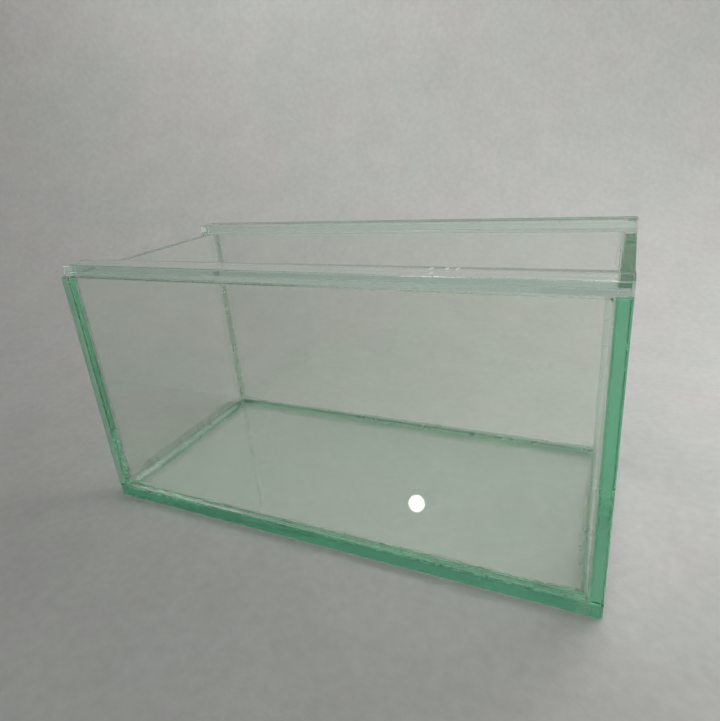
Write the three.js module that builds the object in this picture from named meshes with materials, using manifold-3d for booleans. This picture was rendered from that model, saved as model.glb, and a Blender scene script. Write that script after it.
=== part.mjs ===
// A small all-glass aquarium tank with two flat bracing strips on its rim.
//
// Four upright panes stand on a thicker base pane. The side panes run the full depth, and
// the front and back panes fit between them. Clear silicone fills every joint with a thin
// film, flush with the outer faces, and inside the tank with a tooled concave cove. The
// foot of each upright cove flares to the wider floor coves. Where two floor coves and one
// upright cove meet, the three are mitred on the planes that halve the corner.
//
// Units are millimetres. X runs along the tank, Y from front to back, Z up. The origin is
// the middle of the underside.

import * as THREE from 'three';
import { mergeVertices } from 'three/addons/utils/BufferGeometryUtils.js';
import Module from 'manifold-3d';

const wasm = await Module();
wasm.setup();

// Tank
const tankLength = 305;
const tankDepth = 143;
const wallHeight = 145;

// Glass
const wallGlass = 6;
const baseGlass = 8;
const stripGlass = 6;
const stripWidth = 17;
const frontStripShortfall = 3.5;
const edgeArris = 0.5;
const cornerDub = 1.2;

// Silicone
const bondFilm = 0.8;
const arrisHair = 0.02;
const floorCove = 8;
const uprightCove = 4;
const footFlare = 12;
const coveToe = 0.3;
const mitreGap = 0.3;
const coveSteps = 12;
const flareSteps = 6;

// Corners of a shape closer than this are one corner
const weldDistance = 1e-5;

// Places that follow from the sizes above
const outerX = tankLength / 2;
const outerY = tankDepth / 2;
const innerX = outerX - wallGlass;
const innerY = outerY - wallGlass;
const baseTop = baseGlass;
const wallFoot = baseTop + bondFilm;
const wallTop = wallFoot + wallHeight;
const stripFoot = wallTop + bondFilm;

const glass = {
  color: 0xa9cdb9, roughness: 0.05, metalness: 0, transparent: true, opacity: 0.4,
};
const silicone = {
  color: 0xdde6df, roughness: 0.4, metalness: 0, transparent: true, opacity: 0.75,
};

const tank = new THREE.Group();

function addPiece(name, geometry, finish) {
  const mesh = new THREE.Mesh(geometry, new THREE.MeshStandardMaterial(finish));
  mesh.name = name;
  tank.add(mesh);
  return mesh;
}

// Joins and cuts

function toSolid(geometry) {
  const bare = geometry.clone();
  bare.deleteAttribute('normal');
  bare.deleteAttribute('uv');
  const merged = mergeVertices(bare, weldDistance);
  return new wasm.Manifold(new wasm.Mesh({
    numProp: 3,
    vertProperties: new Float32Array(merged.attributes.position.array),
    triVerts: new Uint32Array(merged.index.array),
  }));
}

function toGeometry(solid) {
  const mesh = solid.getMesh();
  const geometry = new THREE.BufferGeometry();
  geometry.setAttribute('position', new THREE.BufferAttribute(mesh.vertProperties, 3));
  geometry.setIndex(new THREE.BufferAttribute(mesh.triVerts, 1));
  geometry.computeVertexNormals();
  return geometry;
}

// Glass plates

// Outline of a plate in the XY plane, centred on the origin, with its corners dubbed off.
function dubbedOutline(length, width) {
  const x = length / 2;
  const y = width / 2;
  return new THREE.Shape([
    new THREE.Vector2(x - cornerDub, -y),
    new THREE.Vector2(x, -y + cornerDub),
    new THREE.Vector2(x, y - cornerDub),
    new THREE.Vector2(x - cornerDub, y),
    new THREE.Vector2(-x + cornerDub, y),
    new THREE.Vector2(-x, y - cornerDub),
    new THREE.Vector2(-x, -y + cornerDub),
    new THREE.Vector2(-x + cornerDub, -y),
  ]);
}

// A flat plate. All its edges carry an arris, so only the middle of each edge keeps the
// full size.
function glassPlate(length, width, thickness) {
  const plate = new THREE.ExtrudeGeometry(dubbedOutline(length, width), {
    depth: thickness - 2 * edgeArris,
    bevelEnabled: true,
    bevelThickness: edgeArris,
    bevelSize: edgeArris,
    bevelOffset: -edgeArris,
    bevelSegments: 1,
  });
  plate.translate(0, 0, edgeArris - thickness / 2);
  return plate;
}

function addBase() {
  const base = addPiece('base_pane', glassPlate(tankLength, tankDepth, baseGlass), glass);
  base.position.set(0, 0, baseGlass / 2);
}

// The front and back panes leave one film of silicone at each end.
function addFrontOrBack(name, side) {
  const length = 2 * (innerX - bondFilm);
  const pane = addPiece(name, glassPlate(length, wallHeight, wallGlass), glass);
  pane.rotation.x = Math.PI / 2;
  pane.position.set(0, side * (innerY + wallGlass / 2), wallFoot + wallHeight / 2);
}

function addSide(name, side) {
  const pane = addPiece(name, glassPlate(wallHeight, tankDepth, wallGlass), glass);
  pane.rotation.y = Math.PI / 2;
  pane.position.set(side * (innerX + wallGlass / 2), 0, wallFoot + wallHeight / 2);
}

// The ends of each bracing strip: the front one was cut short and is flush at the right.
const strips = {
  front: { side: -1, left: -outerX + frontStripShortfall, right: outerX },
  back: { side: 1, left: -outerX, right: outerX },
};

function stripMiddle(strip) {
  return {
    x: (strip.left + strip.right) / 2,
    y: strip.side * (outerY - stripWidth / 2),
  };
}

function addStrip(name, strip) {
  const plate = glassPlate(strip.right - strip.left, stripWidth, stripGlass);
  const middle = stripMiddle(strip);
  const mesh = addPiece(name, plate, glass);
  mesh.position.set(middle.x, middle.y, stripFoot + stripGlass / 2);
}

// Silicone seams

function traceShape(points) {
  return new THREE.Shape(points.map(([u, v]) => new THREE.Vector2(u, v)));
}

// The hollow face of a cove between two walls at right angles, from the end of its leg
// along u to the end of its leg along v. Each end keeps a toe of silicone.
function coveFace(leg, u, v) {
  const points = [];
  for (let i = 0; i <= coveSteps; i += 1) {
    const turn = (Math.PI / 2) * (i / coveSteps);
    const reach = leg - coveToe;
    points.push([u + leg - reach * Math.sin(turn), v + leg - reach * Math.cos(turn)]);
  }
  return points;
}

// Section of a floor seam: u is the distance in from the outer face of the wall, v the
// height over the base. The film lies under the wall and fills the arrises beside it, a
// hair off their slanted faces.
function floorSection() {
  return traceShape([
    [0, arrisHair - edgeArris],
    [edgeArris - arrisHair, 0],
    [wallGlass + floorCove, 0],
    ...coveFace(floorCove, wallGlass, 0),
    [wallGlass, floorCove],
    [wallGlass, bondFilm + edgeArris - arrisHair],
    [wallGlass - edgeArris + arrisHair, bondFilm],
    [edgeArris - arrisHair, bondFilm],
    [0, bondFilm + edgeArris - arrisHair],
  ]);
}

// Section of an upright seam: u is the distance in from the inner face of the side pane, v
// the distance in from the outer face of the front or back pane.
function uprightSection(leg) {
  return [
    [arrisHair - edgeArris, 0],
    [bondFilm + edgeArris - arrisHair, 0],
    [bondFilm, edgeArris - arrisHair],
    [bondFilm, wallGlass - edgeArris + arrisHair],
    [bondFilm + edgeArris - arrisHair, wallGlass],
    [leg, wallGlass],
    ...coveFace(leg, 0, wallGlass),
    [0, wallGlass + leg],
    [0, edgeArris - arrisHair],
  ];
}

// Leg of an upright cove at a height over the base: the foot flares to the floor coves.
function uprightLeg(height) {
  const share = Math.min(1, Math.max(0, (height - floorCove) / footFlare));
  const flare = (1 + Math.cos(Math.PI * share)) / 2;
  return uprightCove + (floorCove - uprightCove) * flare;
}

function extrude(shape, depth) {
  return new THREE.ExtrudeGeometry(shape, { depth, bevelEnabled: false });
}

// A closed body over sections at rising heights. Each section has as many corners as the
// others, and they run anticlockwise.
function loft(sections, heights) {
  const count = sections[0].length;
  const corners = sections.flatMap(
    (section, row) => section.flatMap(([u, v]) => [u, v, heights[row]]),
  );
  const triangles = [];
  for (let low = 0; low < count * (sections.length - 1); low += count) {
    for (let i = 0; i < count; i += 1) {
      const a = low + i;
      const b = low + ((i + 1) % count);
      triangles.push(a, b, b + count, a, b + count, a + count);
    }
  }
  const capCorners = (section) => section.map(([u, v]) => new THREE.Vector2(u, v));
  for (const [a, b, c] of THREE.ShapeUtils.triangulateShape(capCorners(sections[0]), [])) {
    triangles.push(c, b, a);
  }
  const top = count * (sections.length - 1);
  for (const [a, b, c] of THREE.ShapeUtils.triangulateShape(capCorners(sections.at(-1)), [])) {
    triangles.push(top + a, top + b, top + c);
  }
  const body = new THREE.BufferGeometry();
  body.setAttribute('position', new THREE.Float32BufferAttribute(corners, 3));
  body.setIndex(triangles);
  return body.toNonIndexed();
}

// Mitre cuts at an inner corner of the tank. p, q and h are the distances from the inner
// face of the side pane, from that of the front or back pane, and from the base. Each
// piece of silicone keeps what lies further from the corner along its own run than along
// the other two directions, less half of the mitre gap.
const mitreStep = mitreGap / Math.SQRT2;
const mitreReach = 2 * (wallGlass + Math.max(floorCove, uprightCove));

// Half plane u < v + mitreStep as a shape, for v from vLow up.
function mitreShape(vLow) {
  return traceShape([
    [-mitreReach, vLow],
    [vLow + mitreStep, vLow],
    [mitreReach + mitreStep, mitreReach],
    [-mitreReach, mitreReach],
  ]);
}

// The frame of one inner corner: maps p, q and h to the tank's axes. The sign of a corner
// tells the side that it is on. A mirrored frame turns faces inside out, so the faces are
// turned back.
function placeAtCorner(geometry, signX, signY, order) {
  const axes = {
    p: new THREE.Vector3(-signX, 0, 0),
    q: new THREE.Vector3(0, -signY, 0),
    h: new THREE.Vector3(0, 0, 1),
  };
  const [first, second, third] = [...order].map((axis) => axes[axis]);
  const frame = new THREE.Matrix4().makeBasis(first, second, third);
  frame.setPosition(signX * innerX, signY * innerY, baseTop);
  const placed = geometry.clone().applyMatrix4(frame);
  if (frame.determinant() < 0) {
    turnFaces(placed);
  }
  return toSolid(placed);
}

function turnFaces(geometry) {
  const position = geometry.attributes.position;
  for (let i = 0; i < position.count; i += 3) {
    const held = new THREE.Vector3().fromBufferAttribute(position, i);
    const other = new THREE.Vector3().fromBufferAttribute(position, i + 1);
    position.setXYZ(i, other.x, other.y, other.z);
    position.setXYZ(i + 1, held.x, held.y, held.z);
  }
}

// Solid to take away where u < v + mitreStep, v over vLow and the third direction over
// thirdLow.
function mitreCut(signX, signY, order, vLow, thirdLow) {
  const cut = extrude(mitreShape(vLow), mitreReach - thirdLow);
  cut.translate(0, 0, thirdLow);
  return placeAtCorner(cut, signX, signY, order);
}

// Cuts the ends of a floor seam back to the dubbed corners of the base.
function trimToBase(seam) {
  return seam.intersect(toSolid(extrude(dubbedOutline(tankLength, tankDepth), wallHeight)));
}

// A floor seam along X at the front or back: section u is q + wallGlass, v is h.
function addFloorSeamAcross(name, signY) {
  const section = extrude(floorSection(), tankLength);
  section.translate(-wallGlass, 0, -wallGlass);
  let seam = placeAtCorner(section, 1, signY, 'qhp');
  for (const signX of [1, -1]) {
    seam = seam.subtract(mitreCut(signX, signY, 'pqh', -mitreReach, -mitreReach));
    seam = seam.subtract(mitreCut(signX, signY, 'phq', bondFilm, -mitreReach));
  }
  addPiece(name, toGeometry(trimToBase(seam)), silicone);
}

// A floor seam along Y at one side: section u is p + wallGlass, v is h. The fill of the
// side pane's outer arris runs on to its ends, past the mitres of the cove.
function addFloorSeamAlong(name, signX) {
  const section = extrude(floorSection(), tankDepth);
  section.translate(-wallGlass, 0, -wallGlass);
  let seam = placeAtCorner(section, signX, 1, 'phq');
  for (const signY of [1, -1]) {
    seam = seam.subtract(mitreCut(signX, signY, 'qph', -mitreReach, -mitreReach));
    seam = seam.subtract(mitreCut(signX, signY, 'qhp', bondFilm, -wallGlass / 2));
  }
  addPiece(name, toGeometry(trimToBase(seam)), silicone);
}

// An upright seam: section u is p, v is q + wallGlass. It stands on the floor film.
function addUprightSeam(name, signX, signY) {
  const heights = [bondFilm];
  for (let i = 0; i <= flareSteps; i += 1) {
    heights.push(floorCove + footFlare * (i / flareSteps));
  }
  heights.push(bondFilm + wallHeight);
  const body = loft(heights.map((height) => uprightSection(uprightLeg(height))), heights);
  body.translate(0, -wallGlass, 0);
  let seam = placeAtCorner(body, signX, signY, 'pqh');
  seam = seam.subtract(mitreCut(signX, signY, 'hpq', -mitreReach, -mitreReach));
  seam = seam.subtract(mitreCut(signX, signY, 'hqp', -mitreReach, -mitreReach));
  addPiece(name, toGeometry(seam), silicone);
}

// The film under a bracing strip covers the flat of the walls' top edges, as far as the
// flat of the strip's underside reaches.
function addStripBond(name, strip) {
  const rim = traceShape([
    [-outerX + edgeArris, -outerY + edgeArris],
    [outerX - edgeArris, -outerY + edgeArris],
    [outerX - edgeArris, outerY - edgeArris],
    [-outerX + edgeArris, outerY - edgeArris],
  ]);
  rim.holes.push(traceShape([
    [-innerX - edgeArris, -innerY - edgeArris],
    [-innerX - edgeArris, innerY + edgeArris],
    [innerX + edgeArris, innerY + edgeArris],
    [innerX + edgeArris, -innerY - edgeArris],
  ]));
  const rimFilm = extrude(rim, bondFilm);
  rimFilm.translate(0, 0, wallTop);
  const reach = new THREE.BoxGeometry(
    strip.right - strip.left - 2 * edgeArris,
    stripWidth - 2 * edgeArris,
    2 * bondFilm,
  );
  const middle = stripMiddle(strip);
  reach.translate(middle.x, middle.y, wallTop + bondFilm / 2);
  addPiece(name, toGeometry(toSolid(rimFilm).intersect(toSolid(reach))), silicone);
}

addBase();
addFrontOrBack('front_pane', -1);
addFrontOrBack('back_pane', 1);
addSide('left_pane', -1);
addSide('right_pane', 1);
addStrip('front_top_strip', strips.front);
addStrip('back_top_strip', strips.back);
addFloorSeamAcross('floor_seam_front', -1);
addFloorSeamAcross('floor_seam_back', 1);
addFloorSeamAlong('floor_seam_left', -1);
addFloorSeamAlong('floor_seam_right', 1);
addUprightSeam('corner_seam_front_left', -1, -1);
addUprightSeam('corner_seam_front_right', 1, -1);
addUprightSeam('corner_seam_back_left', -1, 1);
addUprightSeam('corner_seam_back_right', 1, 1);
addStripBond('front_strip_bond', strips.front);
addStripBond('back_strip_bond', strips.back);

export default tank;
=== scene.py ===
"""Looks of a small all-glass tank: float glass panes, clear silicone seams, a plain studio.

Every glass pane and silicone seam is built as one closed mesh in the place of its CAD node.
Light passes from glass into silicone where the two are bonded, so each pane carries a mark
on its bonded faces, and a seam's own bonded faces let light pass unbent.
"""

import math

import bmesh
import bpy
from mathutils import Euler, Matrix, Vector, noise
from mathutils.geometry import delaunay_2d_cdt


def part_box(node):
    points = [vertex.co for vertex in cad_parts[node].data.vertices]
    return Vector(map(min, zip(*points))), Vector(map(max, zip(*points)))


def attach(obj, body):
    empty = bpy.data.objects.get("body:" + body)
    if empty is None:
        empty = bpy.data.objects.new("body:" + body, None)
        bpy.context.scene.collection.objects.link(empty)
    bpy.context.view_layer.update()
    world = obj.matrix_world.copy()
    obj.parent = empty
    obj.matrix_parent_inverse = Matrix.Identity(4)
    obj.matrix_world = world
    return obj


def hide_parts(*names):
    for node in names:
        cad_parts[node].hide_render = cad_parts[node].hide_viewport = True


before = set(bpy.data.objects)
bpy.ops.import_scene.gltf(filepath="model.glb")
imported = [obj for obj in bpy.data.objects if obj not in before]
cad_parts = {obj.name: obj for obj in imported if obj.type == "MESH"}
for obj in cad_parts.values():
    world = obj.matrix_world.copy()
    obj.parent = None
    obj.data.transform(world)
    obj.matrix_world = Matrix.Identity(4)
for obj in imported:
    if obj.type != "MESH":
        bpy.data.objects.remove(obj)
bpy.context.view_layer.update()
scene = bpy.context.scene

MM = 0.001

# Sizes of the tank, read from the frame
_, base_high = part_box("base_pane")
_, left_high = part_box("left_pane")
front_low, front_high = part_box("front_pane")
strip_low, strip_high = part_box("front_top_strip")
_, side_seam_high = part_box("floor_seam_left")

OUTER_X = base_high.x
OUTER_Y = base_high.y
INNER_X = -left_high.x
INNER_Y = -front_high.y
WALL_GLASS = OUTER_Y - INNER_Y
BASE_TOP = base_high.z
WALL_TOP = front_high.z
FILM = front_low.z - BASE_TOP
STRIP_FOOT = strip_low.z
STRIP_TOP = strip_high.z
STRIP_EDGE = -strip_high.y
FLOOR_LEG = side_seam_high.x - left_high.x

# Finish of the glass edges: ground arrises that drift in width, and corners rubbed off
ARRIS = 0.5 * MM
ARRIS_DRIFT = 0.08
ARRIS_DRIFT_REACH = 25 * MM
ARRIS_CROWN = 0.38
CORNER_DUB = 1.2 * MM
EDGE_STEP = 0.9 * MM

# Finish of the silicone coves. Their legs are CORNER_LEG in the tank's inner corners, and
# reach their middle length over the flare. There they drift, and the lean shortens them.
TOE = 0.06 * MM
SKIN = 0.02 * MM
COVE_STEPS = 10
SEAM_STEP = 1.5 * MM
CORNER_LEG = 4.5 * MM
UPRIGHT_LEG = 4 * MM
UPRIGHT_FLARE = 12 * MM
FLOOR_LEGS = {"front": 3.2 * MM, "back": 3.2 * MM, "left": FLOOR_LEG, "right": FLOOR_LEG}
FLOOR_FLARES = {"front": 14 * MM, "back": 14 * MM, "left": 9 * MM, "right": 9 * MM}
LEG_DRIFT = 0.1
LEG_DRIFT_REACH = 11 * MM
FLOOR_LEG_LEAN = 0.4
UPRIGHT_LEG_LEAN = 0.2

# Finish of the silicone films. Their outer faces are the lips, and LIP_FILL is how full of
# silicone the arrises beside a lip are. The film under a strip draws back by up to BOND_WAVE
# of an arris.
FILM_HOLLOW = 0.12 * MM
LIP_FILL = 0.95
LIP_DRIFT = 0.25
LIP_DRIFT_REACH = 9 * MM
BOND_INSET = 0.05 * MM
BOND_DUB = 0.9 * MM
BOND_WAVE = 0.6

# Painted shade: how far the open faces of a seam are darkened toward a dark green, at its lips and in its
# coves
FLOOR_LIP_PAINTED_SHADE = 0.2
FLOOR_COVE_PAINTED_SHADES = {"front": 0, "back": 0.3, "left": 0.04, "right": 0.02}
UPRIGHT_LIP_PAINTED_SHADES = {"front_left": 0.4, "front_right": 0.15, "back_left": 0, "back_right": 0.2}
UPRIGHT_COVE_PAINTED_SHADES = {"front_left": 0.15, "front_right": 0.1, "back_left": 0, "back_right": 0.1}

# Kinds of face of a seam: open to the air, on the glass, and the film's outer lip
FREE, BONDED, LIP = 0, 1, 2


# Small helpers

# Numbers that keep the drifts of different runs apart
SEED_STRIDES = (7.31, 3.17)
SEAM_SEEDS = 97
SEEDS_PER_METRE = 100
PLATE_SEEDS = 89
DEPTH_SEED = 9


def smooth_step(value):
    """0 below 0, 1 above 1 and a soft S between."""
    clipped = min(1.0, max(0.0, value))
    return clipped * clipped * (3 - 2 * clipped)


def drift(distance, reach, seed):
    """A slow irregular wave along a run, about -1 to 1, the same in every run of the script."""
    first, second = SEED_STRIDES
    return noise.noise(Vector((distance / reach, seed * first, seed * second)))


def seed_of(name, seeds):
    """A whole number below seeds, always the same for a name."""
    return sum(map(ord, name)) % seeds


def link(obj):
    """Adds an object to the scene."""
    scene.collection.objects.link(obj)
    return obj


def face_outwards(work):
    """Turns every face of a closed bmesh outwards."""
    bmesh.ops.recalc_face_normals(work, faces=work.faces)
    if work.calc_volume(signed=True) < 0:
        bmesh.ops.reverse_faces(work, faces=work.faces)


def finish_piece(name, node, mesh):
    """Puts a mesh in the place of its CAD node."""
    piece = link(bpy.data.objects.new(name, mesh))
    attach(piece, "root")
    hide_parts(node)
    return piece


# Camera at the photograph's viewing angle

PHOTO_HEIGHT_PX = 721
PRINCIPAL_POINT_ABOVE_MIDDLE_PX = 8
CAMERA_PLACE = (0.14931, -0.28716, 0.21859)
CAMERA_TURN_DEG = (68.387, 4.811, 24.934)
FOCAL_LENGTH_PX = 558.9
SENSOR_MM = 36


def add_camera():
    """Its place, turn and lens were fitted to the straight edges of the tank."""
    data = bpy.data.cameras.new("camera")
    data.sensor_width = SENSOR_MM
    data.lens = FOCAL_LENGTH_PX / PHOTO_HEIGHT_PX * SENSOR_MM
    data.shift_y = -PRINCIPAL_POINT_ABOVE_MIDDLE_PX / PHOTO_HEIGHT_PX
    camera = link(bpy.data.objects.new("camera", data))
    camera.location = CAMERA_PLACE
    camera.rotation_euler = Euler([math.radians(turn) for turn in CAMERA_TURN_DEG])
    scene.camera = camera


# Node helpers

# Sockets of a colour mix
MIX_SHARE, MIX_FIRST, MIX_SECOND, MIX_RESULT = 0, 6, 7, 2


def new_material(name):
    material = bpy.data.materials.new(name)
    material.use_nodes = True
    return material


def add_node(tree, kind, **settings):
    """A new node. A setting is a socket's value where it names one, else a property."""
    node = tree.nodes.new(kind)
    for key, value in settings.items():
        if key in node.inputs:
            node.inputs[key].default_value = value
        else:
            setattr(node, key, value)
    return node


def attribute(tree, name):
    """The mark of that name on the faces, from 0 to 1."""
    return add_node(tree, "ShaderNodeAttribute", attribute_name=name).outputs["Fac"]


def map_range(tree, value, span, levels):
    """Stretches a span of a value over two levels, and holds it at each beyond the span."""
    node = tree.nodes.new("ShaderNodeMapRange")
    node.inputs["From Min"].default_value, node.inputs["From Max"].default_value = span
    node.inputs["To Min"].default_value, node.inputs["To Max"].default_value = levels
    tree.links.new(value, node.inputs["Value"])
    return node.outputs["Result"]


def math_node(tree, operation, first, second):
    """first and second are numbers or sockets."""
    node = add_node(tree, "ShaderNodeMath", operation=operation)
    for socket, value in zip(node.inputs, (first, second)):
        if isinstance(value, (int, float)):
            socket.default_value = value
        else:
            tree.links.new(value, socket)
    return node.outputs["Value"]


def noise_texture(tree, scale, detail):
    """Noise that is fixed to the object, with scale patches to the metre or so."""
    coordinates = tree.nodes.new("ShaderNodeTexCoord")
    texture = add_node(tree, "ShaderNodeTexNoise", Scale=scale, Detail=detail)
    tree.links.new(coordinates.outputs["Object"], texture.inputs["Vector"])
    return texture.outputs["Fac"]


def uneven(tree, scale, detail, span, levels):
    """A value that wanders between two levels. A narrow span of the noise gives firm patches."""
    return map_range(tree, noise_texture(tree, scale, detail), span, levels)


def bump(tree, height, distance, strength):
    """strength is a number or a socket."""
    node = add_node(tree, "ShaderNodeBump", Distance=distance)
    tree.links.new(height, node.inputs["Height"])
    if isinstance(strength, (int, float)):
        node.inputs["Strength"].default_value = strength
    else:
        tree.links.new(strength, node.inputs["Strength"])
    return node.outputs["Normal"]


def blend(tree, share, first, second):
    """The first colour where share is 0, the second where it is 1."""
    node = add_node(tree, "ShaderNodeMix", data_type="RGBA")
    tree.links.new(share, node.inputs[MIX_SHARE])
    node.inputs[MIX_FIRST].default_value = first
    node.inputs[MIX_SECOND].default_value = second
    return node.outputs[MIX_RESULT]


# Materials. The faces of a pane carry marks: bonded to silicone, ground, cut, darkened by painted shade, and
# dusty.

GLASS_IOR = 1.52
SILICONE_IOR = 1.41
GLASS_ABSORPTION = 12
GLASS_TINT = (0.2, 0.775, 0.533, 1)
FACE_TINT = (1, 0.988, 0.972, 1)
# Painted shade: the tint that darkens the cut edges of the glass
CUT_PAINTED_SHADE = (0.52, 0.66, 0.64, 1)
CUT_ROUGHNESS = 0.06
DUST_UPRIGHT = 0.007
DUST_LYING = 0.03
SILICONE_TINT = (0.90, 0.95, 0.91, 1)
# Painted shade: the dark green that the lips and coves of the seams are darkened toward
SEAM_PAINTED_SHADE = (0.14, 0.42, 0.28, 1)
SILICONE_CLEARNESS = 0.97
BOND_CLOUDS = (0.016, 0.024)
BOND_TINT = (0.60, 0.66, 0.58, 1)
MATT_ROUGHNESS = 0.9

# Painted glints: small white spots on the front strip that stand in for glints, as (x, y). Each is an oval,
# solid in its core.
GLINT_REACH = 1.0 * MM
GLINT_CORE = 0.7
GLINT_STRETCH = 3
GLINT_WHITE = 0.97
PAINTED_GLINTS = ((0.0721, -0.0588), (0.0791, -0.0585), (0.0839, -0.0586), (0.0746, -0.0669))


def painted_glint_mask(tree):
    """How much the painted glints hide the glass under white, from 0 to their whitest."""
    squash = Vector((1, 1 / GLINT_STRETCH, 1))
    span = (GLINT_CORE * GLINT_REACH, GLINT_REACH)
    coordinates = tree.nodes.new("ShaderNodeTexCoord")
    squashed = add_node(tree, "ShaderNodeVectorMath", operation="MULTIPLY")
    tree.links.new(coordinates.outputs["Object"], squashed.inputs[0])
    squashed.inputs[1].default_value = squash
    mask = 0.0
    for x, y in PAINTED_GLINTS:
        away = add_node(tree, "ShaderNodeVectorMath", operation="DISTANCE")
        tree.links.new(squashed.outputs["Vector"], away.inputs[0])
        away.inputs[1].default_value = Vector((x, y, STRIP_TOP)) * squash
        near = map_range(tree, away.outputs["Value"], span, (GLINT_WHITE, 0))
        mask = math_node(tree, "MAXIMUM", mask, near)
    return mask


def glass_dust_and_painted_glints(tree):
    """How much of the glass dust and the painted glints hide: a breath on free faces, more where it can
    settle, more still on dusty edges, and the white spots of the painted glints."""
    bonded = attribute(tree, "bonded")
    facing = add_node(tree, "ShaderNodeSeparateXYZ")
    geometry = tree.nodes.new("ShaderNodeNewGeometry")
    tree.links.new(geometry.outputs["Normal"], facing.inputs["Vector"])
    settled = map_range(tree, facing.outputs["Z"], (0, 1), (DUST_UPRIGHT, DUST_LYING))
    patches = uneven(tree, scale=14, detail=4, span=(0.35, 0.65), levels=(0.6, 1.4))
    free = map_range(tree, bonded, (0, 1), (1, 0))
    dust = math_node(tree, "MULTIPLY", math_node(tree, "MULTIPLY", settled, patches), free)
    dust = math_node(tree, "MAXIMUM", dust, attribute(tree, "edge_dust"))
    return math_node(tree, "MAXIMUM", dust, painted_glint_mask(tree))


def glass_roughness(tree):
    """Faint smears on the faces, grain on the ground arrises, and less on the cut edges."""
    smears = uneven(tree, scale=22, detail=3, span=(0.52, 0.75), levels=(0.0, 0.03))
    grain = uneven(tree, scale=900, detail=2, span=(0.3, 0.7), levels=(0.25, 0.45))
    ground = math_node(tree, "MULTIPLY", attribute(tree, "ground"), grain)
    cut = math_node(tree, "MULTIPLY", attribute(tree, "cut"), CUT_ROUGHNESS)
    return math_node(tree, "ADD", smears, math_node(tree, "ADD", ground, cut))


def glass_material():
    """Float glass, green in its depth. A face that is bonded bends light as glass in silicone."""
    material = new_material("float_glass")
    tree = material.node_tree
    shader = tree.nodes["Principled BSDF"]
    # Painted shade darkens the cut edges
    colour = blend(tree, attribute(tree, "painted_shade"), FACE_TINT, CUT_PAINTED_SHADE)
    tree.links.new(colour, shader.inputs["Base Color"])
    shader.inputs["IOR"].default_value = GLASS_IOR
    bending = (GLASS_IOR, GLASS_IOR / SILICONE_IOR)
    tree.links.new(map_range(tree, attribute(tree, "bonded"), (0, 1), bending), shader.inputs["IOR"])
    clearness = math_node(tree, "SUBTRACT", 1.0, glass_dust_and_painted_glints(tree))
    tree.links.new(clearness, shader.inputs["Transmission Weight"])
    tree.links.new(glass_roughness(tree), shader.inputs["Roughness"])
    waves = noise_texture(tree, scale=60, detail=2)
    normal = bump(tree, waves, distance=0.1 * MM, strength=attribute(tree, "cut"))
    tree.links.new(normal, shader.inputs["Normal"])
    depth = add_node(tree, "ShaderNodeVolumeAbsorption", Color=GLASS_TINT, Density=GLASS_ABSORPTION)
    tree.links.new(depth.outputs["Volume"], tree.nodes["Material Output"].inputs["Volume"])
    return material


def silicone_material():
    """Clear silicone with a hand-tooled, faintly uneven skin."""
    material = new_material("clear_silicone")
    tree = material.node_tree
    shader = tree.nodes["Principled BSDF"]
    shader.inputs["Transmission Weight"].default_value = SILICONE_CLEARNESS
    shader.inputs["IOR"].default_value = SILICONE_IOR
    # Painted shade: lips and coves darkened toward a dark green, more on some seams than others
    colour = blend(tree, attribute(tree, "painted_seam_shade"), SILICONE_TINT, SEAM_PAINTED_SHADE)
    tree.links.new(colour, shader.inputs["Base Color"])
    skin = uneven(tree, scale=120, detail=4, span=(0.3, 0.7), levels=(0.22, 0.4))
    tree.links.new(skin, shader.inputs["Roughness"])
    ripples = noise_texture(tree, scale=90, detail=2)
    tree.links.new(bump(tree, ripples, distance=0.2 * MM, strength=0.3), shader.inputs["Normal"])
    return material


def bonded_material():
    """Where silicone touches glass: light passes, and the glass's own face bends it. A faintly
    cloudy film scatters a small share of it instead."""
    material = new_material("silicone_bond")
    tree = material.node_tree
    shader = tree.nodes["Principled BSDF"]
    shader.inputs["Base Color"].default_value = BOND_TINT
    shader.inputs["Roughness"].default_value = MATT_ROUGHNESS
    shader.inputs["Specular IOR Level"].default_value = 0
    clouds = uneven(tree, scale=60, detail=3, span=(0.3, 0.7), levels=BOND_CLOUDS)
    tree.links.new(clouds, shader.inputs["Alpha"])
    return material


GLASS = glass_material()
SILICONE = silicone_material()
BOND = bonded_material()

# Silicone seams. A section is a closed list of (u, v, kind): a corner, and the kind of the face
# that starts there. A run carries the section from one mitre to the other.

SEAM_SLOTS = (SILICONE, BOND)
BOND_SLOT = SEAM_SLOTS.index(BOND)
SEAM_SHARP = math.radians(40)


def cove_arc(leg_u, leg_v):
    """The hollow face between two toes, as distances from the two walls."""
    points = []
    for step in range(COVE_STEPS + 1):
        turn = math.pi / 2 * step / COVE_STEPS
        points.append((
            leg_u - (leg_u - SKIN - TOE) * math.sin(turn),
            leg_v - (leg_v - SKIN - TOE) * math.cos(turn),
        ))
    return points


def floor_section(leg_floor, leg_wall, low_fill, high_fill):
    """u is the distance in from the wall's inner face, v the height over the base. The fills
    say how much of the two outer arrises the film fills."""
    outer = -WALL_GLASS
    arc = cove_arc(leg_floor, leg_wall)
    section = [
        (outer + ARRIS * (1 - low_fill), SKIN - ARRIS * low_fill, BONDED),
        (outer + ARRIS, SKIN, BONDED),
        (leg_floor, SKIN, FREE),
    ]
    section += [(u, v, FREE) for u, v in arc]
    section += [
        (SKIN, leg_wall, BONDED),
        (SKIN, FILM + ARRIS, BONDED),
        (-ARRIS, FILM - SKIN, BONDED),
        (outer + ARRIS, FILM - SKIN, BONDED),
        (outer + ARRIS * (1 - high_fill), FILM + ARRIS * high_fill - SKIN, LIP),
        (outer + FILM_HOLLOW, FILM - SKIN, LIP),
        (outer + FILM_HOLLOW, SKIN, LIP),
    ]
    return section


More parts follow.
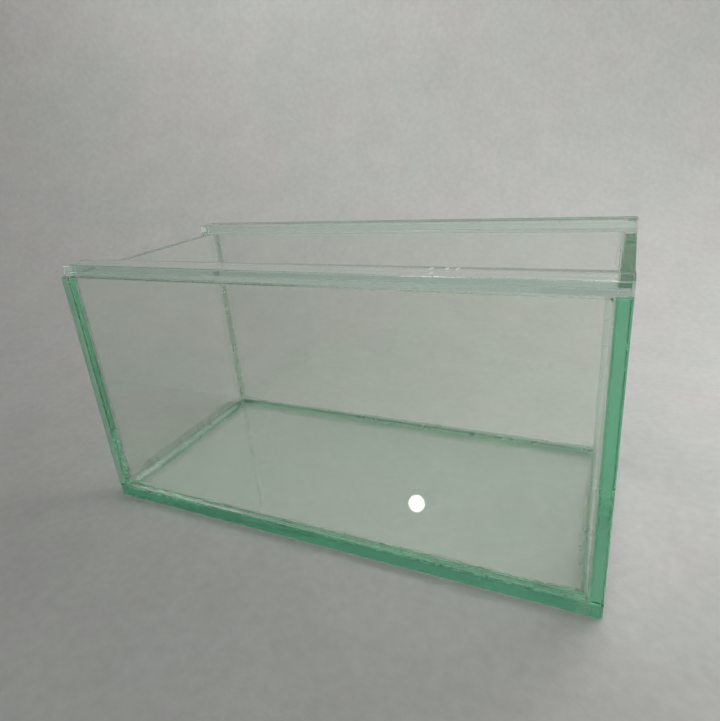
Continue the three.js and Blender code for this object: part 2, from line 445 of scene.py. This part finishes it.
def upright_section(leg_end, leg_side, side_fill, end_fill):
    """u is the distance in from the side pane, v that from the front or back pane."""
    outer = -WALL_GLASS
    arc = cove_arc(leg_end, leg_side)
    section = [
        (SKIN - ARRIS * side_fill, outer + ARRIS * (1 - side_fill), LIP),
        (0.5 * FILM, outer + FILM_HOLLOW, LIP),
        (FILM + ARRIS * end_fill - SKIN, outer + ARRIS * (1 - end_fill), BONDED),
        (FILM - SKIN, outer + ARRIS, BONDED),
        (FILM - SKIN, -ARRIS, BONDED),
        (FILM + ARRIS, SKIN, BONDED),
        (leg_end, SKIN, FREE),
    ]
    section += [(u, v, FREE) for u, v in arc]
    section += [(SKIN, leg_side, BONDED), (SKIN, outer + ARRIS, BONDED)]
    return section


def lip_fill(along, seed):
    """How full an outer arris is of silicone that was wiped flush."""
    return min(1.0, LIP_FILL + LIP_DRIFT * drift(along, LIP_DRIFT_REACH, seed))


def leg_growth(along, seed, sway, lean):
    """How the drift changes a cove's leg, as a factor. sway is 0 at the mitres, 1 between."""
    return 1 + sway * LEG_DRIFT * (drift(along, LEG_DRIFT_REACH, seed) - lean)


def finish_seam(name, node, work):
    """Turns a seam's bmesh into a mesh piece."""
    face_outwards(work)
    mesh = bpy.data.meshes.new(name)
    work.to_mesh(mesh)
    work.free()
    for material in SEAM_SLOTS:
        mesh.materials.append(material)
    finish_piece(name, node, mesh)
    return mesh


def loft(name, node, rows, kinds, hearts, lip_painted_shade, cove_painted_shade):
    """Closed skin over rows of points. hearts are the middles of the two end caps."""
    work = bmesh.new()
    painted_seam_shade = work.faces.layers.float.new("painted_seam_shade")
    rings = [[work.verts.new(point) for point in row] for row in rows]
    count = len(kinds)
    for low, high in zip(rings, rings[1:]):
        for index, kind in enumerate(kinds):
            after = (index + 1) % count
            face = work.faces.new((low[index], low[after], high[after], high[index]))
            face.material_index = BOND_SLOT if kind == BONDED else 0
            # Painted shade, by the kind of face
            face[painted_seam_shade] = lip_painted_shade if kind == LIP else cove_painted_shade
            face.smooth = True
    for ring, heart in zip((rings[0], rings[-1]), hearts):
        middle = work.verts.new(heart)
        for index in range(count):
            face = work.faces.new((ring[index], ring[(index + 1) % count], middle))
            face.material_index = BOND_SLOT
    finish_seam(name, node, work).set_sharp_from_angle(angle=SEAM_SHARP)


def stations(length):
    """Shares from 0 to 1 along a run."""
    count = max(2, round(length / SEAM_STEP))
    return [index / count for index in range(count + 1)]


# Lines that the seams and films leave on the glass, kept for the panes: lists of points
toe_lines = {}


def add_floor_seam(side_name, run, wall):
    """run and wall are unit vectors: along the seam, and from the tank's middle to its wall."""
    name = f"floor_seam_{side_name}"
    seed = seed_of(name, SEAM_SEEDS)
    lies_across = run.x != 0
    middle_leg = FLOOR_LEGS[side_name]
    reach_run, reach_wall = (INNER_X, INNER_Y) if lies_across else (INNER_Y, INNER_X)

    def place(share, u, v):
        """Mitred against the floor seam round the corner and, over the film, the upright one.
        The outer corners are rubbed off as those of the glass are."""
        mitred_upright = v > FILM and (lies_across or u > -WALL_GLASS / 2)
        end = reach_run - (max(u, v) if mitred_upright else u)
        end = min(end, reach_run + 2 * WALL_GLASS - CORNER_DUB + u)
        return run * (end * (2 * share - 1)) + wall * (reach_wall - u) + Vector((0, 0, BASE_TOP + v))

    rows = []
    floor_toe = []
    wall_toe = []
    for share in stations(2 * reach_run):
        along = share * 2 * reach_run
        from_end = min(along, 2 * reach_run - along)
        sway = smooth_step((from_end - CORNER_LEG) / FLOOR_FLARES[side_name])
        leg = CORNER_LEG + (middle_leg - CORNER_LEG) * sway
        leg_floor = leg * leg_growth(along, seed, sway, FLOOR_LEG_LEAN)
        leg_wall = leg * leg_growth(along, seed + 1, sway, FLOOR_LEG_LEAN)
        section = floor_section(leg_floor, leg_wall, lip_fill(along, seed + 2), lip_fill(along, seed + 3))
        rows.append([place(share, u, v) for u, v, kind in section])
        floor_toe.append(place(share, leg_floor, 0))
        wall_toe.append(place(share, 0, leg_wall))
    kinds = [kind for u, v, kind in section]
    hearts = [place(share, 0.5 * FILM, 0.5 * FILM) for share in (0, 1)]
    toe_lines[name] = {"floor": floor_toe, "wall": wall_toe}
    loft(name + "_bead", name, rows, kinds, hearts, FLOOR_LIP_PAINTED_SHADE, FLOOR_COVE_PAINTED_SHADES[side_name])


def add_upright_seam(front_name, side_name, sign_x, sign_y):
    """The upright seam between the front or back pane's end and the side pane."""
    corner = f"{front_name}_{side_name}"
    name = f"corner_seam_{corner}"
    seed = seed_of(name, SEAM_SEEDS)

    def place(share, u, v):
        """Mitred against the floor seams at the foot."""
        foot = BASE_TOP + max(u, v, FILM)
        height = foot + (WALL_TOP - SKIN - foot) * share
        return Vector((sign_x * (INNER_X - u), sign_y * (INNER_Y - v), height))

    rows = []
    end_toe = []
    side_toe = []
    height = WALL_TOP - BASE_TOP
    for share in stations(height):
        up = share * height
        sway = smooth_step((up - CORNER_LEG) / UPRIGHT_FLARE)
        leg = CORNER_LEG + (UPRIGHT_LEG - CORNER_LEG) * sway
        leg_end = leg * leg_growth(up, seed, sway, UPRIGHT_LEG_LEAN)
        leg_side = leg * leg_growth(up, seed + 1, sway, UPRIGHT_LEG_LEAN)
        section = upright_section(leg_end, leg_side, lip_fill(up, seed + 2), lip_fill(up, seed + 3))
        rows.append([place(share, u, v) for u, v, kind in section])
        end_toe.append(place(share, leg_end, 0))
        side_toe.append(place(share, 0, leg_side))
    kinds = [kind for u, v, kind in section]
    hearts = [place(share, 0.5 * FILM, 0.5 * FILM) for share in (0, 1)]
    toe_lines[name] = {"end": end_toe, "side": side_toe}
    lip_painted_shade = UPRIGHT_LIP_PAINTED_SHADES[corner]
    cove_painted_shade = UPRIGHT_COVE_PAINTED_SHADES[corner]
    loft(name + "_bead", name, rows, kinds, hearts, lip_painted_shade, cove_painted_shade)


def bond_outline(strip_node):
    """Plan of the film under a strip: a U over the flats of the wall tops."""
    low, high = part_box(strip_node)
    side = 1 if low.y > 0 else -1
    inset = ARRIS * (1 + ARRIS_DRIFT) + BOND_INSET
    left = max(low.x, -OUTER_X) + inset
    right = high.x - inset
    far = OUTER_Y - inset
    near = STRIP_EDGE + inset
    corners = [
        (left, far - BOND_DUB), (left + BOND_DUB, far),
        (right - BOND_DUB, far), (right, far - BOND_DUB),
        (right, near + BOND_DUB), (right - BOND_DUB, near),
        (INNER_X + inset, near), (INNER_X + inset, INNER_Y + inset),
        (-INNER_X - inset, INNER_Y + inset), (-INNER_X - inset, near),
        (left + BOND_DUB, near), (left, near + BOND_DUB),
    ]
    points = []
    for start, end in zip(corners, corners[1:] + corners[:1]):
        start, end = Vector(start), Vector(end)
        inward = Vector((start.y - end.y, end.x - start.x)).normalized() * -1
        length = (end - start).length
        count = max(1, round(length / SEAM_STEP))
        seed = length * SEEDS_PER_METRE + side
        for index in range(count):
            share = index / count
            sway = min(1, min(share, 1 - share) * length / SEAM_STEP)
            wave = 0.5 + 0.5 * drift(share * length, ARRIS_DRIFT_REACH, seed)
            points.append(start.lerp(end, share) + inward * (sway * wave * ARRIS * BOND_WAVE))
    return [Vector((point.x, side * point.y)) for point in points]


def add_strip_bond(name, strip_node):
    """The film that holds a strip on the wall tops."""
    outline = bond_outline(strip_node)
    toe_lines[name] = outline
    work = bmesh.new()
    levels = [
        [work.verts.new((point.x, point.y, height)) for point in outline]
        for height in (WALL_TOP + SKIN, STRIP_FOOT - SKIN)
    ]
    for level in levels:
        work.faces.new(level).material_index = BOND_SLOT
    count = len(outline)
    for index in range(count):
        after = (index + 1) % count
        work.faces.new((levels[0][index], levels[0][after], levels[1][after], levels[1][index]))
    finish_seam(name + "_film", name, work)


# Glass panes. A plate lies in two axes, u and v, and is thick along w. Its rim is dubbed at
# the corners and carries ground arrises of uneven width.

GLASS_SHARP = math.radians(20)

# Settings for the triangles of a split face: inside its rim only, and points this near are one
INSIDE_ONLY = 1
SAME_POINT = 1e-7

# Share of a normal's length along one axis, from which its face counts as level or slanting
LEVEL = 0.9
SLANTING = 0.3

# Panes whose cut edges are dusty, and how much
EDGE_DUST = {"left_pane": 0.3}

# How much the cut edges are darkened by painted shade
BASE_PAINTED_SHADE = 1.0
STRIP_PAINTED_SHADES = {"front": 0.35, "back": 0.0}

# Small chips in the arrises: the sign of the face, u, v, reach, growth of the arris
CHIPS = {
    "right_pane": (
        (1, -OUTER_Y, 0.1357, 1.6 * MM, 1.8),
        (1, -OUTER_Y, 0.1267, 1.3 * MM, 1.2),
        (1, -OUTER_Y, 0.0685, 4.0 * MM, 3.0),
    ),
}


def rim_corners(low, high):
    """Plate outline with dubbed corners, anticlockwise."""
    cut = CORNER_DUB
    return [
        Vector(corner) for corner in (
            (low[0] + cut, low[1]), (high[0] - cut, low[1]), (high[0], low[1] + cut),
            (high[0], high[1] - cut), (high[0] - cut, high[1]), (low[0] + cut, high[1]),
            (low[0], high[1] - cut), (low[0], low[1] + cut),
        )
    ]


def rim_samples(corners):
    """Points along an anticlockwise outline, each with its way in and its distance run."""
    count = len(corners)
    ways = []
    for index in range(count):
        side = corners[(index + 1) % count] - corners[index]
        ways.append(Vector((-side.y, side.x)).normalized())
    samples = []
    run = 0.0
    for index in range(count):
        start, end = corners[index], corners[(index + 1) % count]
        length = (end - start).length
        steps = max(2, round(length / EDGE_STEP))
        before = ways[index - 1]
        mitre = (before + ways[index]) / (1 + before.dot(ways[index]))
        for step in range(steps):
            way = mitre if step == 0 else ways[index]
            samples.append((start.lerp(end, step / steps), way, run + length * step / steps))
        run += length
    return samples


def inside(point, polygon):
    """True if a 2-D point lies in a polygon, by crossings."""
    found = False
    for a, b in zip(polygon, polygon[1:] + polygon[:1]):
        if (a[1] > point[1]) != (b[1] > point[1]):
            if point[0] < a[0] + (b[0] - a[0]) * (point[1] - a[1]) / (b[1] - a[1]):
                found = not found
    return found


def add_plate(node, axes, split_sign, line, is_bonded, rim_bonded, edge_painted_shade=0.0):
    """A closed pane with marks on its faces. axes: indices of u, v and w. split_sign: sign of
    the w face that line, a list of (u, v), splits. is_bonded((u, v)) says which of its parts
    are on silicone, and rim_bonded(centre, normal) says it for the rim."""
    u, v, w = axes
    low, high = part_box(node)
    seed = seed_of(node, PLATE_SEEDS)
    samples = rim_samples(rim_corners((low[u], low[v]), (high[u], high[v])))
    chips = CHIPS.get(node, ())
    work = bmesh.new()
    bonded = work.faces.layers.float.new("bonded")
    ground = work.faces.layers.float.new("ground")
    cut = work.faces.layers.float.new("cut")
    painted_shade = work.faces.layers.float.new("painted_shade")
    edge_dust = work.faces.layers.float.new("edge_dust")

    def put(flat, across):
        point = Vector((0, 0, 0))
        point[u], point[v], point[w] = flat[0], flat[1], across
        return work.verts.new(point)

    rings = []
    for sign in (1, -1):
        face_at = high[w] if sign > 0 else low[w]
        rows = [[], [], []]
        for point, way, run in samples:
            chip = chip_growth(chips, sign, point)
            wide = chip * ARRIS * (1 + ARRIS_DRIFT * drift(run, ARRIS_DRIFT_REACH, seed + sign))
            deep = chip * ARRIS * (1 + ARRIS_DRIFT * drift(run, ARRIS_DRIFT_REACH, seed + DEPTH_SEED + sign))
            rows[0].append(put(point + way * wide, face_at))
            rows[1].append(put(point + way * wide * ARRIS_CROWN, face_at - sign * deep * ARRIS_CROWN))
            rows[2].append(put(point, face_at - sign * deep))
        rings.append(rows)
    bands = [
        (rings[0][0], rings[0][1], 1), (rings[0][1], rings[0][2], 1),
        (rings[0][2], rings[1][2], 0),
        (rings[1][2], rings[1][1], 1), (rings[1][1], rings[1][0], 1),
    ]
    count = len(samples)
    for first, second, is_ground in bands:
        for index in range(count):
            after = (index + 1) % count
            face = work.faces.new((first[index], first[after], second[after], second[index]))
            face[ground] = is_ground
            face[cut] = 1 - is_ground

    for rows, sign in zip(rings, (1, -1)):
        ring = rows[0]
        if sign != split_sign:
            work.faces.new(ring)
            continue
        flat = [Vector((vert.co[u], vert.co[v])) for vert in ring]
        extra = [Vector(point) for point in line]
        start = len(flat)
        edges = [(start + index, start + index + 1) for index in range(len(extra) - 1)]
        points, _, faces, origins, _, _ = delaunay_2d_cdt(
            flat + extra, edges, [list(range(start))], INSIDE_ONLY, SAME_POINT
        )
        verts = []
        for point, origin in zip(points, origins):
            known = [index for index in origin if index < start]
            verts.append(ring[known[0]] if known else put(point, ring[0].co[w]))
        for corners in faces:
            face = work.faces.new([verts[index] for index in corners])
            centre = face.calc_center_median()
            face[bonded] = float(is_bonded((centre[u], centre[v])))

    face_outwards(work)
    for face in work.faces:
        if face[ground] or face[cut]:
            if rim_bonded(face.calc_center_median(), face.normal):
                face[bonded] = 1
                face[ground] = 0
                face[cut] = 0
            # Painted shade on the cut edges
            face[painted_shade] = face[cut] * edge_painted_shade
            face[edge_dust] = face[cut] * EDGE_DUST.get(node, 0)
        face.smooth = True
    mesh = bpy.data.meshes.new(node + "_glass")
    work.to_mesh(mesh)
    work.free()
    mesh.materials.append(GLASS)
    mesh.set_sharp_from_angle(angle=GLASS_SHARP)
    finish_piece(node + "_glass", node, mesh)


def chip_growth(chips, sign, point):
    """How many times wider an arris is near its chips."""
    growth = 1.0
    for chip_sign, chip_u, chip_v, reach, deepest in chips:
        away = math.hypot(point.x - chip_u, point.y - chip_v) / reach
        if chip_sign == sign and away < 1:
            growth += deepest * (1 - away * away)
    return growth


def flat_line(line, axes):
    """The (u, v) of each point."""
    return [(point[axes[0]], point[axes[1]]) for point in line]


def add_base():
    """The base is on silicone outside the loop of the floor seams' toes."""
    axes = (0, 1, 2)
    loop = (
        toe_lines["floor_seam_front"]["floor"] + toe_lines["floor_seam_right"]["floor"][1:]
        + toe_lines["floor_seam_back"]["floor"][-2::-1] + toe_lines["floor_seam_left"]["floor"][-2:0:-1]
    )
    polygon = flat_line(loop, axes)
    line = polygon + polygon[:1]
    add_plate("base_pane", axes, 1, line, lambda point: not inside(point, polygon),
              lambda centre, normal: normal.z > SLANTING, BASE_PAINTED_SHADE)


# How far a wall's toe line stops short of the top arris, and its polygon goes past the top
OPEN_GAP = 0.3 * MM
BEYOND = 10 * MM


def wall_line(first, floor, last, axes):
    """The toe line on a wall's inner face: down one upright, along the floor, up the other.
    Also gives the test for what is on silicone beyond it."""
    line = first[::-1] + floor[1:-1] + last
    top = WALL_TOP - ARRIS * (1 + ARRIS_DRIFT) - OPEN_GAP
    line = flat_line([point for point in line if point.z < top], axes)
    ends = (line[0][0], WALL_TOP + BEYOND), (line[-1][0], WALL_TOP + BEYOND)
    polygon = [ends[0]] + line + [ends[1]]
    return line, (lambda point: not inside(point, polygon))


def add_front_or_back(front_name, side):
    """A pane between the side panes: its ends, foot and top are on silicone."""
    axes = (0, 2, 1)
    line, is_bonded = wall_line(
        toe_lines[f"corner_seam_{front_name}_left"]["end"],
        toe_lines[f"floor_seam_{front_name}"]["wall"],
        toe_lines[f"corner_seam_{front_name}_right"]["end"],
        axes,
    )

    def rim_bonded(centre, normal):
        return centre.z < WALL_TOP - CORNER_DUB or normal.z > LEVEL

    add_plate(f"{front_name}_pane", axes, -side, line, is_bonded, rim_bonded)


def add_side(side_name, side):
    """A side pane: its foot is on silicone, and its top under the strips."""
    axes = (1, 2, 0)
    line, is_bonded = wall_line(
        toe_lines[f"corner_seam_front_{side_name}"]["side"],
        toe_lines[f"floor_seam_{side_name}"]["wall"],
        toe_lines[f"corner_seam_back_{side_name}"]["side"],
        axes,
    )
    front_strip_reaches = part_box("front_top_strip")[1 if side > 0 else 0].x * side > OUTER_X - ARRIS

    def rim_bonded(centre, normal):
        if normal.z > LEVEL:
            covered = abs(centre.y) > STRIP_EDGE + ARRIS
            return covered and (centre.y > 0 or front_strip_reaches)
        inner_arris = normal.x * side < -SLANTING and centre.z < WALL_TOP - CORNER_DUB
        return normal.z < -SLANTING or inner_arris

    add_plate(f"{side_name}_pane", axes, -side, line, is_bonded, rim_bonded)


def add_strip(front_name):
    """A strip is on silicone inside the outline of its film, on its lower face."""
    axes = (0, 1, 2)
    polygon = [(point.x, point.y) for point in toe_lines[f"{front_name}_strip_bond"]]
    line = polygon + polygon[:1]
    add_plate(f"{front_name}_top_strip", axes, -1, line, lambda point: inside(point, polygon),
              lambda centre, normal: False, STRIP_PAINTED_SHADES[front_name])


# Studio

# The sheet lies level up to SWEEP_START behind the tank's middle, then curves up
SWEEP_WAY = Vector((-0.4515, 0.8923, 0))
SWEEP_START = 0.136
SWEEP_RADIUS = 0.44
SWEEP_REACH = 4
SWEEP_STEPS = 32
FLOOR_GAP = 0.2 * MM

SHEET_GLOSS = 0.1
SHEET_COOL = (0.585, 0.602, 0.570, 1)
SHEET_WARM = (0.613, 0.598, 0.580, 1)


def sweep_material():
    """Pale foam sheet: fine pores and soft patches, a little cooler or warmer."""
    material = new_material("pale_sheet")
    tree = material.node_tree
    shader = tree.nodes["Principled BSDF"]
    patches = uneven(tree, scale=9, detail=3, span=(0.35, 0.65), levels=(0, 1))
    speckle = uneven(tree, scale=160, detail=5, span=(0.3, 0.7), levels=(0.955, 1.045))
    mottle = uneven(tree, scale=24, detail=3, span=(0.3, 0.7), levels=(0.97, 1.03))
    tone = add_node(tree, "ShaderNodeVectorMath", operation="SCALE")
    tree.links.new(blend(tree, patches, SHEET_COOL, SHEET_WARM), tone.inputs[0])
    tree.links.new(math_node(tree, "MULTIPLY", speckle, mottle), tone.inputs["Scale"])
    tree.links.new(tone.outputs[0], shader.inputs["Base Color"])
    shader.inputs["Roughness"].default_value = MATT_ROUGHNESS
    shader.inputs["Specular IOR Level"].default_value = SHEET_GLOSS
    pores = noise_texture(tree, scale=500, detail=3)
    tree.links.new(bump(tree, pores, distance=0.4 * MM, strength=0.35), shader.inputs["Normal"])
    return material


def add_sweep():
    """A flat floor that curves up behind the tank."""
    across = Vector((SWEEP_WAY.y, -SWEEP_WAY.x, 0))
    profile = [(-SWEEP_REACH, 0.0), (SWEEP_START, 0.0)]
    for step in range(1, SWEEP_STEPS + 1):
        turn = math.pi / 2 * step / SWEEP_STEPS
        reach = SWEEP_START + SWEEP_RADIUS * math.sin(turn)
        profile.append((reach, SWEEP_RADIUS * (1 - math.cos(turn))))
    work = bmesh.new()
    rows = []
    for reach, height in profile:
        middle = SWEEP_WAY * reach + Vector((0, 0, height - FLOOR_GAP))
        rows.append([work.verts.new(middle + across * end * SWEEP_REACH) for end in (-1, 1)])
    for low, high in zip(rows, rows[1:]):
        work.faces.new((low[0], low[1], high[1], high[0])).smooth = True
    mesh = bpy.data.meshes.new("sweep")
    work.to_mesh(mesh)
    work.free()
    mesh.materials.append(sweep_material())
    link(bpy.data.objects.new("sweep", mesh))


# Level of the world's light, and the brighter level at which glass shows and mirrors it
ROOM_LIGHT = 0.312
ROOM_SEEN = 0.47


def add_world():
    """Even white light from all round."""
    world = bpy.data.worlds.new("studio")
    world.use_nodes = True
    tree = world.node_tree
    background = tree.nodes["Background"]
    background.inputs["Color"].default_value = (1, 1, 1, 1)
    rays = tree.nodes.new("ShaderNodeLightPath")
    seen = math_node(tree, "MAXIMUM", rays.outputs["Is Glossy Ray"], rays.outputs["Is Transmission Ray"])
    level = map_range(tree, seen, (0, 1), (ROOM_LIGHT, ROOM_SEEN))
    tree.links.new(level, background.inputs["Strength"])
    scene.world = world


# Round lamps. The side lamp and the near lamp hang on the right and light the sheet there, the
# near one closer to the tank. The top lamp lights the sheet behind the tank. The spot hangs
# where the base mirrors it to the camera. It shows only in glass and lights no matt surface.
LAMPS = {
    "side_lamp": {"place": (0.55, 0.01, 0.54), "aim": (0.87, 0.36, 0.12), "size": 0.6, "power": 2.75},
    "top_lamp": {"place": (-0.11, 0.11, 0.83), "aim": (-0.48, 1.68, 0.35), "size": 0.6, "power": 2.86},
    "near_lamp": {"place": (0.29, 0.17, 0.56), "aim": (0.36, -0.05, 0.16), "size": 0.3, "power": 1.0},
}
SPOT = {
    "place": (-0.5406, 1.4641, 1.2066), "aim": (0.0462, -0.0255, 0.008), "size": 0.064, "power": 0.16,
}


def add_disk_lamp(name, place, aim, size, power):
    """A round lamp that faces its aim. power is in watts."""
    data = bpy.data.lights.new(name, "AREA")
    data.shape = "DISK"
    data.size = size
    data.energy = power
    lamp = link(bpy.data.objects.new(name, data))
    lamp.location = place
    lamp.rotation_euler = (Vector(aim) - Vector(place)).to_track_quat("-Z", "Y").to_euler()
    return lamp


def add_lights():
    for name, lamp in LAMPS.items():
        add_disk_lamp(name, **lamp)
    spot = add_disk_lamp("spot_lamp", **SPOT)
    spot.visible_camera = False
    spot.visible_diffuse = False


# How often light may turn, and how many clear layers it may cross
LIGHT_TURNS = 40
CLEAR_TURNS = 64


def set_light_paths():
    """Light turns many times inside a pane before it leaves at an edge."""
    cycles = scene.cycles
    cycles.max_bounces = LIGHT_TURNS
    cycles.glossy_bounces = LIGHT_TURNS
    cycles.transmission_bounces = LIGHT_TURNS
    cycles.transparent_max_bounces = CLEAR_TURNS
    cycles.blur_glossy = 0


add_camera()
for sign, front_name in ((-1, "front"), (1, "back")):
    add_floor_seam(front_name, Vector((1, 0, 0)), Vector((0, sign, 0)))
    for side, side_name in ((-1, "left"), (1, "right")):
        add_upright_seam(front_name, side_name, side, sign)
    add_strip_bond(f"{front_name}_strip_bond", f"{front_name}_top_strip")
for side, side_name in ((-1, "left"), (1, "right")):
    add_floor_seam(side_name, Vector((0, 1, 0)), Vector((side, 0, 0)))
add_base()
for sign, front_name in ((-1, "front"), (1, "back")):
    add_front_or_back(front_name, sign)
    add_strip(front_name)
for side, side_name in ((-1, "left"), (1, "right")):
    add_side(side_name, side)
add_sweep()
add_world()
add_lights()
set_light_paths()
scene.view_settings.view_transform = "Standard"
